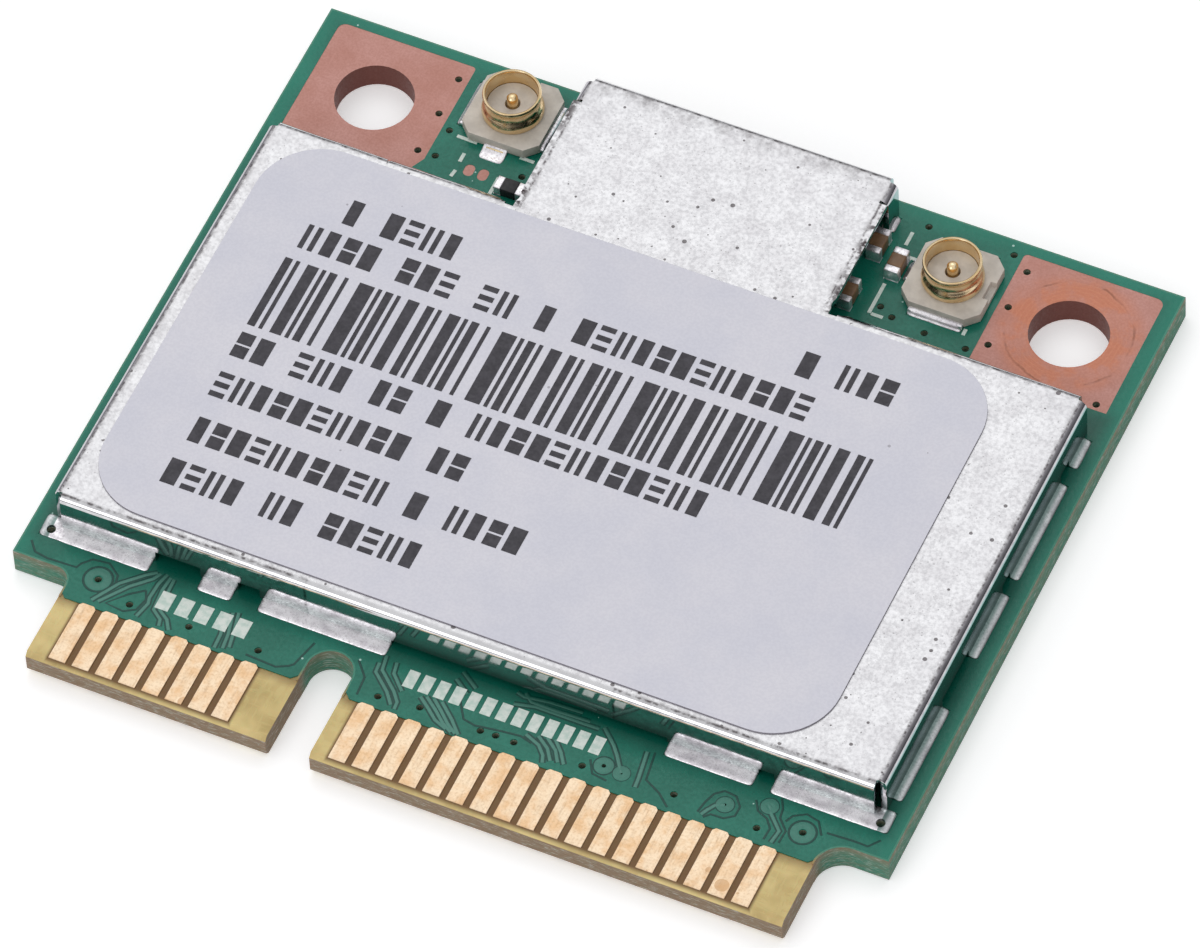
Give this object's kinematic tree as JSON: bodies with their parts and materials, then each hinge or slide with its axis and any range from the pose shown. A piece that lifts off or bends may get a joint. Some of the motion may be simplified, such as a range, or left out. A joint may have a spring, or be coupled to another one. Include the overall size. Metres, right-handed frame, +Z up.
{
  "type": "mini_pcie_wifi_card",
  "caption": "Half-length mini PCIe wifi card: green board with edge connector, folded metal shield with a printed label, two mounting holes and two coaxial antenna receptacles.",
  "frame": {"origin": "middle of the underside of the board's overall outline", "axes": "+X along the edge connector to the right, +Y from the edge connector to the mounting holes, +Z up out of the shielded face"},
  "size_m": [0.0298, 0.0266, 0.0027],
  "materials": {
    "laminate": "woven glass and epoxy, routed edges",
    "solder_mask": "green lacquer over copper",
    "white_legend": "printed epoxy ink",
    "contact_gold": "gold over nickel, fine wiping marks",
    "bare_copper": "bare copper with a clear protective film",
    "tinned_sheet": "bright tin plate with fine specks",
    "solder": "reflowed solder",
    "label_film": "satin adhesive film",
    "print_ink": "thermal print",
    "receptacle_plastic": "moulded liquid crystal polymer",
    "receptacle_gold": "gold plated contact",
    "chip_plastic": "moulded package",
    "ceramic_body": "fired ceramic",
    "ferrite": "pressed ferrite",
    "capacitor_ceramic": "fired ceramic"
  },
  "bodies": {
    "root": {"board": "laminate", "solder_mask_top": "solder_mask", "solder_mask_bottom": "solder_mask", "silkscreen": "white_legend", "edge_contacts_top": "contact_gold", "edge_contacts_bottom": "contact_gold", "mounting_land_left": "bare_copper", "mounting_land_right": "bare_copper", "shield_can": "tinned_sheet", "shield_solder": "solder", "label": "label_film", "label_print": "print_ink", "receptacle_housing_left": "receptacle_plastic", "receptacle_housing_right": "receptacle_plastic", "receptacle_ring_left": "receptacle_gold", "receptacle_ring_right": "receptacle_gold", "receptacle_pin_left": "receptacle_gold", "receptacle_pin_right": "receptacle_gold", "receptacle_solder": "solder", "bare_pads": "bare_copper", "test_pads": "bare_copper", "component_solder": "solder", "radio_chip": "chip_plastic", "radio_chip_leads": "solder", "front_end_left": "chip_plastic", "front_end_right": "chip_plastic", "memory_chip": "chip_plastic", "memory_chip_leads": "solder", "regulator": "chip_plastic", "regulator_leads": "solder", "crystal_base": "ceramic_body", "crystal_lid": "tinned_sheet", "power_inductor": "ferrite", "power_inductor_ends": "solder", "band_filters": "ceramic_body", "capacitors": "capacitor_ceramic", "capacitor_ends": "solder", "resistors": "chip_plastic", "resistor_ends": "solder"}
  },
  "joints": []
}
